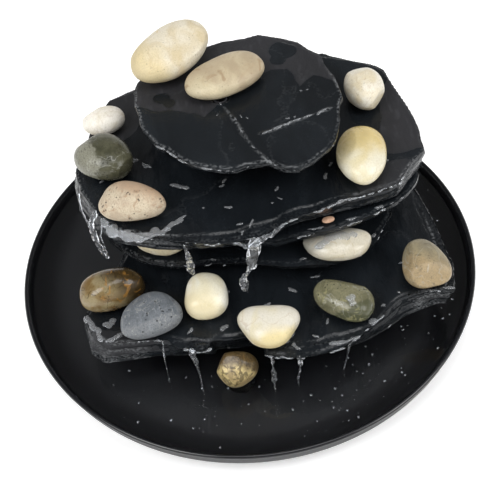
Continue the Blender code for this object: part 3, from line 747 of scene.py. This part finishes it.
def pebble_material(name, index, main, second, blotch, share, scale, pits, veins, roughness):
    """Water-worn stone: clouded colours, another tone on one side, blotches, grain, pits and veins."""
    material, nodes, shader = new_material(name + "_stone")
    shader.inputs["Specular IOR Level"].default_value = 0.35
    place = placed(nodes, (1, 0.7, 1), (index * 3.1, index * 1.7, index * 0.9), index * 1.3)
    cloud = noise_node(nodes, scale, 5, place, 0.8)
    patch = noise_node(nodes, scale * 1.9, 6, place, 1.2)
    fine = noise_node(nodes, 900, 3, place)
    colour = mix_node(nodes, ramp_node(nodes, cloud, 0.4, 0.66), srgb(*main), srgb(*second))
    colour = toned(nodes, name, cloud, colour)
    rare = 0.75 - 0.45 * share
    spots = math_node(nodes, "MULTIPLY", ramp_node(nodes, patch, rare, rare + 0.11), 0.75)
    colour = mix_node(nodes, spots, colour, srgb(*blotch))
    colour = mix_node(nodes, vein_lines(nodes, place, scale, veins), colour, vein_colour(name, main))
    dust = math_node(nodes, "MULTIPLY", ramp_node(nodes, fine, 0.4, 0.7), 0.25 + 0.3 * pits)
    colour = mix_node(nodes, dust, colour, shade(srgb(*second), 0.7))
    hole = pit_holes(nodes, place, pits)
    # Each pit is painted near black as well as sunk.
    colour = mix_node(nodes, hole, colour, shade(srgb(*second), 0.2))
    nodes.link(colour, shader.inputs["Base Color"])
    spread = range_node(nodes, patch, roughness * 0.75, min(1, roughness * 1.35))
    nodes.link(spread, shader.inputs["Roughness"])
    sunken = math_node(nodes, "SUBTRACT", 1.0, hole)
    bump(nodes, shader, ((fine, 0.07 * MM), (patch, 0.4 * MM), (sunken, 0.5 * MM)))
    return material


def worn_shape(points, boxiness, flats, seed):
    """Points of a pebble centred on the origin, made more box-like along its own axes and then ground
    flat in places."""
    own_axes = np.eye(3)
    own_axes[:2, :2] = np.linalg.eigh(np.cov(points[:, :2].T))[1]
    local = points @ own_axes
    half = np.abs(local).max(axis=0)
    unit = local / half
    length = np.linalg.norm(unit, axis=1)
    ray = unit / length[:, None]
    swell = (np.abs(ray) ** boxiness).sum(axis=1) ** (-1 / boxiness)
    unit = ray * (length * swell)[:, None]
    rng = random.Random(seed)
    for _ in range(flats):
        turn, rise = rng.uniform(0, 2 * math.pi), rng.uniform(-0.1, 1.1)
        facing = np.array((math.cos(turn) * math.cos(rise), math.sin(turn) * math.cos(rise), math.sin(rise)))
        over = np.maximum(unit @ facing - rng.uniform(0.8, 0.9), 0)
        unit -= np.outer(0.75 * over, facing)
    return (unit * half) @ own_axes.T


def covered_by_tone(unit, seed, side, border, soft):
    """From 0 to 1 where a pebble's other tone covers it; unit points reach 1 at its surface."""
    facing = unit @ (np.array(side) / np.linalg.norm(side)) + 0.35 * lumps(unit, 0.6, seed, 4)
    return smooth_step(facing, border - soft, border + soft)


def make_pebbles():
    """Every pebble, rounded from its CAD solid, with low lumps and a few worn hollows."""
    for index, (name, look) in enumerate(PEBBLES.items()):
        node = "pebble_" + name
        mesh = applied(cad_mesh(node), ("SUBSURF", {"levels": 3, "render_levels": 3}))
        low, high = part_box(node)
        middle = np.array((low + high) / 2)
        half = np.array((high - low) / 2)
        points = worn_shape(points_of(mesh) - middle, *WORN.get(name, USUAL_WEAR), 40 + index)
        points *= half / np.abs(points).max(axis=0)
        size = (high - low).length
        dents = lumps(points, size * 0.28, index * 5 + 2, 3) - 0.3
        points *= 1 + 0.03 * dents[:, None]
        set_points(mesh, points + middle)
        if name in TONES_AND_PAINTED_LIGHT:
            set_attribute(mesh, "tone", covered_by_tone(points / half, index, *TONES_AND_PAINTED_LIGHT[name][:3]))
        material = pebble_material(name, index, *look)
        pebble = new_piece(name + "_pebble", mesh, material, node=node)
        STONES[node] = {"tree": surface_of(pebble)}


# Dish --------------------

TRAY_LOW, TRAY_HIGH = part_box("tray")
DISH_LIP = 5 * MM
DISH_SLOPE = 34 * MM  # how wide the curved wall is, in plan
DISH_WALL = 3.4 * MM
DISH_FLOOR = TRAY_LOW.z + DISH_WALL
DISH_FLAT = TRAY_HIGH.x - DISH_LIP - DISH_SLOPE  # the radius where the wall starts
DISH_RISE = (TRAY_HIGH.z - DISH_FLOOR) * 0.985  # the wall runs into the lip just below its top
LIP_RADIUS = DISH_LIP * 0.42


def dish_material():
    """Satin black moulding with a faint orange-peel surface, shinier where its lip is handled."""
    material, nodes, shader = new_material("satin_black")
    cloud = noise_node(nodes, 9, 4)
    nodes.link(mix_node(nodes, cloud, srgb(14, 15, 18), srgb(19, 20, 24)), shader.inputs["Base Color"])
    height = nodes.add("SeparateXYZ")
    nodes.link(nodes.coordinates, height.inputs[0])
    satin = range_node(nodes, noise_node(nodes, 30, 4), 0.4, 0.5)
    worn = math_node(nodes, "MULTIPLY", ramp_node(nodes, height.outputs["Z"], 0.038, 0.041), 0.25)
    nodes.link(math_node(nodes, "SUBTRACT", satin, worn), shader.inputs["Roughness"])
    bump(nodes, shader, ((noise_node(nodes, 700, 3), 0.04 * MM),))
    return material


def wall_point(turn, base, slope):
    """A point of a quarter-round wall: at 0 degrees on its base, and steepening as the turn grows."""
    angle = math.radians(turn)
    return DISH_FLAT + slope * math.sin(angle), base + DISH_RISE * (1 - math.cos(angle))


def lip_point(turn):
    """A point of the rolled lip's round section."""
    angle = math.radians(turn)
    return (TRAY_HIGH.x - LIP_RADIUS + LIP_RADIUS * math.cos(angle),
            TRAY_HIGH.z - LIP_RADIUS + LIP_RADIUS * math.sin(angle))


def make_dish():
    """The round dish: flat floor, curved wall and a rolled lip."""
    profile = [(DISH_FLAT * share, DISH_FLOOR) for share in (0.0, 0.25, 0.5, 0.75, 0.97)]
    profile += [wall_point(turn, DISH_FLOOR, DISH_SLOPE) for turn in range(0, 86, 5)]
    profile += [lip_point(turn) for turn in range(150, -121, -15)]
    profile += [wall_point(turn, TRAY_LOW.z, DISH_SLOPE + DISH_WALL) for turn in range(74, 0, -6)]
    profile += [(DISH_FLAT * share, TRAY_LOW.z) for share in (1.0, 0.6, 0.0)]
    dish = turned("dish_shell", profile, 192)
    dish.data.materials.append(dish_material())
    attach(dish, "base")
    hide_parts("tray")


# Water --------------------

WATER_BITE = 0.3 * MM  # how far the drawn water reaches into the dish's skin, so that no gap glints
RAGGED = 4  # drops in each puddle
STREAM_STEP = 1.6  # mm between the lumps of a stream
STREAM_LUMPS = 3  # at each step
SPLASH_COUNT = 170
LANDINGS = ((-53, -134), (11, -147), (36, -146), (77, -134), (-80, -129))  # where drips land, in mm
RING_SPACING = 14 * MM
RING_FADE = 13 * MM
ABOVE_ALL = 0.3  # higher than the whole fountain


def water_material(name, clearness, glint, relief):
    """Water. What isn't clear is matt bluish white, a painted highlight for the lights and bright room
    mirrored in it, and on falling water partly froth as well; glint is how strongly it mirrors the lights,
    and relief the depth of its fine ripples."""
    material, nodes, shader = new_material(name)
    # Painted highlight: the share that isn't clear shows this bluish white as a matt colour.
    shader.inputs["Base Color"].default_value = (0.93, 0.96, 1.0, 1)
    shader.inputs["IOR"].default_value = 1.33
    shader.inputs["Specular IOR Level"].default_value = glint
    shader.inputs["Transmission Weight"].default_value = clearness
    froth = noise_node(nodes, 260, 3)
    nodes.link(range_node(nodes, froth, 0.0, 0.05), shader.inputs["Roughness"])
    bump(nodes, shader, ((froth, relief),))
    return material


def drops_mesh(name, drops):
    """Round drops in one mesh. A drop is its centre, its three half sizes and its turn matrix."""
    bm = bmesh.new()
    for centre, size, turn in drops:
        matrix = Matrix.Translation(centre) @ turn.to_4x4() @ Matrix.Diagonal((*size, 1))
        bmesh.ops.create_icosphere(bm, subdivisions=2, radius=1, matrix=matrix)
    return finished(bm, name)


def fused(name, drops, material, body, voxel, rounding):
    """A piece made by joining drops into one skin."""
    mesh = applied(drops_mesh(name, drops), ("REMESH", {"mode": "VOXEL", "voxel_size": voxel}),
                   ("SMOOTH", {"factor": 0.5, "iterations": rounding}))
    new_piece(name, mesh, material, body=body)


def flat_turn(angle):
    """A turn about Z."""
    return Matrix.Rotation(angle, 3, "Z")


def along(direction):
    """The turn that lays a drop's long X axis along a direction."""
    return Vector(direction).to_track_quat("X", "Z").to_matrix()


def lie_on(node, x, y):
    """The highest point of a stone at x and y in metres, or None beside it."""
    return STONES[node]["tree"].ray_cast(Vector((x, y, ABOVE_ALL)), Vector((0, 0, -1)))[0]


def puddle_drops(node, spots, seed, level=None):
    """Ragged runs of drops on a stone, or at a level out over its edge: each spot is x, y, length,
    width, height in mm and its turn in degrees."""
    rng = random.Random(seed)
    drops = []
    for x, y, length, width, height, turn in spots:
        turn = math.radians(turn)
        for step in range(RAGGED):
            part = (step + rng.uniform(0.1, 0.9)) / RAGGED - 0.5
            aside = rng.uniform(-0.3, 0.3) * width
            spot = (Vector((x, y, 0)) + flat_turn(turn) @ Vector((0.8 * part * length, aside, 0))) * MM
            place = Vector((spot.x, spot.y, level * MM)) if level else lie_on(node, spot.x, spot.y)
            half = Vector((rng.uniform(0.22, 0.36) * length, rng.uniform(0.25, 0.5) * width,
                           rng.uniform(0.6, 1) * height)) * MM
            lean = flat_turn(turn + rng.uniform(-0.3, 0.3))
            if place:
                drops.append((place, half, lean))
    return drops


def bead_drops(node, start, end, count, size, seed):
    """Beads along a stone's rim from one x to another on its front side."""
    rim = STONES[node]["rim"]
    rng = random.Random(seed)
    drops = []
    for _ in range(count):
        x = rng.uniform(start, end) * MM
        near = rim[np.abs(rim[:, 0] - x) < 3 * MM]
        if not len(near):
            continue
        front = near[near[:, 1] < near[:, 1].min() + 5 * MM]
        spot = front[np.argmin(np.abs(front[:, 0] - x))]
        slope = np.polyfit(front[:, 0], front[:, 1], 1)[0] if len(front) > 3 else 0.0
        length = rng.uniform(0.6, 1.8) * size
        place = Vector(spot) + Vector((0, -0.4 * MM, rng.uniform(-1.6, 0.2) * MM))
        half = (length * MM, rng.uniform(0.35, 0.55) * size * MM, rng.uniform(0.3, 0.5) * size * MM)
        drops.append((place, half, flat_turn(math.atan(max(-2, min(2, slope))))))
    return drops


def stream_drops(path, seed):
    """Lumps of falling water round a path of (x, y, z, half width) in mm."""
    rng = random.Random(seed)
    drops = []
    for (*start, start_radius), (*end, end_radius) in zip(path, path[1:]):
        run = Vector(end) - Vector(start)
        steps = max(2, int(run.length / STREAM_STEP))
        for step in range(steps):
            part = step / steps
            radius = start_radius + (end_radius - start_radius) * part
            middle = Vector(start) + run * part
            for _ in range(STREAM_LUMPS):
                aside = Vector([rng.uniform(-1, 1) * radius * 0.5 for _ in range(3)])
                thick = radius * rng.uniform(0.3, 0.65)
                half = Vector((thick * rng.uniform(1.2, 2.4), thick, thick)) * MM
                drops.append(((middle + aside) * MM, half, along(run)))
    return drops


def ripple_height(points):
    """The basin's surface: rings spreading from each drip, over a slight swell."""
    height = 0.12 * MM * np.sin(points[:, 0] * 90 + 1.3) * np.sin(points[:, 1] * 75)
    for x, y in LANDINGS:
        gap = spot_gap(points, x, y)
        height += 0.5 * MM * np.cos(gap * 2 * math.pi / RING_SPACING) * np.exp(-gap / RING_FADE)
    return height


def make_basin_water(material):
    """The water standing in the dish: a closed body with ripples on top, calm where it meets the wall."""
    rise = (WATER_LEVEL - DISH_FLOOR) / DISH_RISE
    brim = DISH_FLAT + DISH_SLOPE * math.sin(math.acos(1 - rise)) + WATER_BITE
    profile = [(brim * step / 90, WATER_LEVEL) for step in range(91)]
    for turn in range(84, -1, -6):
        radius, depth = wall_point(turn, DISH_FLOOR - WATER_BITE, DISH_SLOPE)
        if depth < WATER_LEVEL - WATER_BITE:
            profile.append((radius + WATER_BITE, depth))
    profile.append((0.0, DISH_FLOOR - WATER_BITE))
    water = turned("basin_water", profile, 240)
    points = points_of(water.data)
    top = points[:, 2] > WATER_LEVEL - 0.01 * MM
    rippled = smooth_step(brim - np.hypot(points[:, 0], points[:, 1]), 0, 0.006)
    points[:, 2] += top * ripple_height(points) * rippled
    points[:, 2] += top * (1 - rippled) * 0.1 * MM
    set_points(water.data, points)
    water.data.materials.append(material)
    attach(water, "base")


# Water lying on each slab: x, y, length, width, height in mm and turn in degrees.
PUDDLES = {
    "top_slab": (
        (28, -6, 9, 2.2, 1.0, 18), (37, -3, 8, 3.0, 1.3, 22), (46, 1, 9, 3.4, 1.4, 24),
        (54, 4, 7, 2.2, 1.1, 14), (64, 7, 10, 2.6, 1.2, 20), (76, 11, 11, 2.6, 1.1, 24),
        (47, 8, 4, 2, 0.9, 0), (53, 9, 3, 2, 0.9, 60), (-8, 36, 6, 1.8, 0.8, 120),
        (3, 14, 5, 1.6, 0.9, 110), (7, -2, 6, 1.6, 0.9, 118), (13, 14, 3, 1.4, 0.7, 130),
        (8, 17, 4, 1.6, 0.8, 130), (15, -22, 5, 1.4, 0.8, 120), (27, -41, 6, 2.2, 1.1, 140),
        (62, 41, 3, 2, 0.9, 0), (68, 41, 3, 2, 0.9, 20), (-12, 22, 3, 1.4, 0.6, 30),
    ),
    "upper_slab": (
        (-89, 22, 9, 6, 1.2, 20), (-79, 14, 10, 4, 1.1, -50), (-50, -16, 17, 4.5, 1.2, -25),
        (-12, -14, 6, 3.5, 1.2, 60), (-15, -20, 4, 3, 1.0, 0), (-11, -45, 6, 3.4, 1.1, 0),
        (31, -30, 6, 3, 1, 50), (33, -42, 5, 1.6, 0.8, -50), (26, -46, 3, 2, 0.8, 0),
        (-3, -66, 6, 3, 1.0, 20), (7, -66, 10, 2.6, 1.1, 62), (-2, -75, 6, 2.4, 1.0, 60),
        (-32, -43, 3, 2, 0.8, 0), (74, -22, 7, 3.4, 1.2, 70), (80, -9, 5, 3, 1, 70),
        (118, -8, 14, 2, 0.8, -6), (129, -12, 3, 2.4, 1, 0), (44, 8, 5, 3, 1.1, 0), (46, 14, 4, 2, 0.9, 90),
        (-104, -16, 10, 5, 1.2, -30), (-118, 2, 6, 3, 1.0, 40), (-99, -8, 5, 2, 0.9, 80),
        (-58, -57, 22, 6, 0.7, 40),
    ),
    "mid_slab": (
        (100, -60, 8, 3, 1.1, 10), (112, -44, 6, 4, 1.2, 40), (48, -62, 7, 3, 1.1, 0),
        (-30, -50, 6, 3, 1, 0),
    ),
    "thin_slab": ((60, -58, 12, 2.4, 1, 4), (92, -52, 12, 2.6, 1.1, 8), (118, -42, 9, 3, 1.1, 20)),
    "lower_slab": (
        (-149, -74, 18, 6, 1.8, -68), (-143, -86, 20, 7, 2.0, -58), (-135, -100, 18, 6, 1.8, -62),
        (-120, -106, 20, 4, 1.6, 26), (-126, -90, 12, 9, 1.0, 10), (-98, -62, 10, 4, 1.2, -35),
        (103, -120, 15, 8, 1.6, 25), (95, -127, 9, 6, 1.5, 60), (115, -114, 12, 3, 1.3, 48),
        (112, -104, 4, 3, 1, 0), (72, -136, 26, 5, 1.4, 18), (172, -92, 9, 5, 1.2, -20),
        (62, -114, 7, 3, 1.1, 60), (50, -128, 6, 2.4, 1, -30), (32, -136, 8, 5, 1.2, -30),
        (8, -144, 10, 5, 1.4, -10), (28, -126, 14, 5, 1.3, 45), (-27, -108, 8, 5, 1.2, 30),
        (-56, -108, 8, 3, 1.1, 50), (-66, -82, 8, 5, 1.1, 0), (-22, -70, 6, 3, 1, 0),
        (36, -76, 9, 3, 1, -30), (58, -64, 8, 3, 1, 10), (66, -70, 6, 3, 1, 0), (-44, -66, 5, 3, 1, 0),
        (136, -60, 4, 2.6, 1, 0), (-8, -104, 5, 3, 1, 0), (128, -92, 3, 3, 1, 0), (12, -90, 8, 4, 1.1, 20),
    ),
}
# Water gathered in one place: the piece it lies on, its level in mm if it bulges past the edge, then
# spots as above.
POOLS = {
    "pink_beige_pool": ("upper_slab", 162.6, ((-112, -50, 16, 8, 1.8, -42), (-104, -60, 20, 10, 2.0, -38),
                                              (-93, -66, 22, 12, 2.0, -16), (-80, -67, 20, 12, 1.8, 6),
                                              (-68, -64, 14, 8, 1.4, 20))),
    "ivory_wet_film": ("pebble_ivory_wet", None, ((66, -61, 16, 11, 0.7, 20), (78, -58, 18, 12, 0.8, 0),
                                                  (90, -58, 12, 9, 0.6, -10))),
    "olive_drop": ("pebble_olive", None, ((82, -113, 9, 8, 3.0, 60),)),
}
# Beads along each slab's front rim: from x, to x, how many, and their size in mm.
RIM_BEADS = {
    "top_slab": ((-64, -18, 16, 2.2), (-16, 40, 8, 1.5), (44, 82, 5, 1.3)),
    "upper_slab": ((30, 100, 22, 2.4), (100, 146, 10, 2.2), (-60, 24, 12, 1.7), (-112, -76, 8, 1.8)),
    "mid_slab": ((-70, 0, 8, 1.8), (96, 132, 6, 2.0)),
    "thin_slab": ((40, 140, 18, 2.0),),
    "lower_slab": (
        (-70, -38, 12, 2.2), (0, 40, 9, 1.8), (60, 118, 18, 2.2), (-110, -74, 8, 1.6), (150, 178, 6, 1.8),
    ),
}
# Falling water: a path of x, y, z and half width in mm, from the edge it leaves.
FALLS = {
    "fall_centre": (
        (6, -86, 160, 4.5), (6, -88, 157, 6.4), (5, -90, 152, 6), (4, -91, 145, 5.4), (2, -91, 138, 3.8),
        (-1, -91, 130, 1.6), (-4, -90, 124, 2.6), (-5, -90, 116, 4.4), (-5, -89, 108, 3.8),
        (-4, -88, 101, 1.6),
    ),
    "fall_centre_sheet": (
        (-10, -85, 162, 1.4), (0, -88, 160, 2.4), (14, -84, 161, 3.0), (24, -78, 162, 2.4),
        (34, -72, 163, 1.4),
    ),
    "fall_cream_flat": (
        (-50, -80, 160, 1.8), (-48, -86, 155, 2.2), (-47, -88, 148, 3.6), (-47, -88, 140, 4.6),
        (-48, -87, 133, 3.0),
    ),
    "fall_left": (
        (-124, -36, 163, 2.6), (-127, -43, 158, 3.4), (-127, -46, 150, 3.2), (-126, -47, 140, 2.6),
        (-124, -48, 130, 2.4), (-122, -49, 121, 2.2),
    ),
    "fall_left_strand": (
        (-118, -50, 162, 1.2), (-121, -52, 152, 1.2), (-120, -52, 140, 1.0), (-119, -52, 122, 1.2),
    ),
    "fall_left_corner": (
        (-139, -8, 160, 1.4), (-138, -20, 152, 1.3), (-133, -30, 146, 1.5), (-129, -40, 140, 1.2),
    ),
    "drip_1": (
        (-56, -129, 79, 2.8), (-54, -134, 73, 2.8), (-53, -135, 64, 1.6), (-52, -135, 50, 1.0),
        (-52, -135, 35, 1.4),
    ),
    "drip_2": (
        (11, -146, 79, 1.6), (11, -150, 72, 1.4), (11, -150, 66, 2.4), (11, -149, 56, 3.4),
        (11, -148, 48, 1.8), (11, -148, 35, 1.0),
    ),
    "drip_3": (
        (34, -147, 79, 2.2), (34, -151, 72, 2.0), (33, -150, 62, 1.1), (32, -149, 52, 1.5),
        (32, -148, 35, 1.0),
    ),
    "drip_4": ((80, -133, 79, 1.8), (77, -137, 68, 1.3), (75, -137, 54, 1.0), (73, -136, 35, 1.1)),
    "drip_5": ((-80, -116, 79, 1.4), (-80, -128, 70, 1.1), (-80, -129, 52, 0.8), (-80, -129, 35, 1.0)),
}


def make_stack_water(lying, falling):
    """Water on and between the slabs, which moves with the stack, and on two pebbles."""
    for order, (node, spots) in enumerate(PUDDLES.items()):
        drops = puddle_drops(node, spots, 900 + order)
        for row, (start, end, count, size) in enumerate(RIM_BEADS[node]):
            drops += bead_drops(node, start, end, count, size, 100 * order + row)
        fused(node + "_water", drops, lying, "stack", 0.6 * MM, 3)
    for order, (name, (node, level, spots)) in enumerate(POOLS.items()):
        fused(name, puddle_drops(node, spots, 950 + order, level), lying, BODY_OF[node], 0.7 * MM, 8)
    for order, (name, path) in enumerate(FALLS.items()):
        fused(name, stream_drops(path, 500 + order), falling, "stack", 0.5 * MM, 5)


def make_splashes(material):
    """Fine droplets and bubbles thrown over the front and right of the basin."""
    rng = random.Random(77)
    drops = []
    for _ in range(SPLASH_COUNT):
        angle = math.radians(rng.triangular(-150, 30, -45))
        radius = rng.uniform(0.62, 0.94) * TRAY_HIGH.x
        size = rng.choice((0.35, 0.45, 0.6, 0.9)) * MM
        place = Vector((radius * math.cos(angle), radius * math.sin(angle), WATER_LEVEL + 0.1 * MM))
        stretch = rng.uniform(1, 1.5)
        drops.append((place, (size * stretch, size, size * 0.8), flat_turn(rng.uniform(0, 3))))
    new_piece("basin_splashes", drops_mesh("basin_splashes", drops), material, body="base")


# Pump, feet and tube --------------------


def moulded_material(name, colour, roughness, grain):
    """A moulded or pressed surface: faint flow marks in its colour and an even fine grain."""
    material, nodes, shader = new_material(name)
    flow = noise_node(nodes, 60, 4, distortion=0.5)
    nodes.link(mix_node(nodes, flow, shade(colour, 0.8), shade(colour, 1.25)), shader.inputs["Base Color"])
    nodes.link(range_node(nodes, flow, roughness * 0.85, roughness * 1.15), shader.inputs["Roughness"])
    bump(nodes, shader, ((noise_node(nodes, grain, 3), 0.05 * MM),))
    return material


MOULDINGS = {  # slot: colour, roughness and grain per metre
    "rubber_black": ((0.018, 0.018, 0.018), 0.75, 1800),
    "pump_plastic": ((0.012, 0.012, 0.013), 0.5, 1400),
    "tube_plastic": ((0.05, 0.05, 0.055), 0.22, 300),
    "rotor_ferrite": ((0.08, 0.08, 0.085), 0.6, 2400),
    "impeller_plastic": ((0.74, 0.75, 0.77), 0.35, 900),
    "shaft_ceramic": ((0.84, 0.84, 0.81), 0.12, 500),
}


def finish_cad_nodes():
    """Gives the small moulded parts their materials, and softens their edges a little."""
    for slot, (colour, roughness, grain) in MOULDINGS.items():
        material = moulded_material(slot + "_moulding", colour, roughness, grain)
        for node in (name for name, used in SLOTS.items() if used == slot):
            obj = frame["nodes"][node]
            obj.data.materials.clear()
            obj.data.materials.append(material)
            weld = obj.modifiers.new("Weld", "WELD")
            weld.merge_threshold = 0.005 * MM
            edges = obj.modifiers.new("Edges", "BEVEL")
            edges.width = 0.25 * MM
            edges.segments = 2
            edges.angle_limit = math.radians(40)


make_camera()
make_floor()
make_lights()
make_dish()
make_slabs()
make_pebbles()
finish_cad_nodes()
make_basin_water(water_material("basin_water", 1.0, 0.5, 0.01 * MM))
DROPLETS = water_material("droplets", 0.86, 1.0, 0.05 * MM)
make_stack_water(DROPLETS, water_material("falling_water", 0.97, 1.0, 0.5 * MM))
make_splashes(DROPLETS)
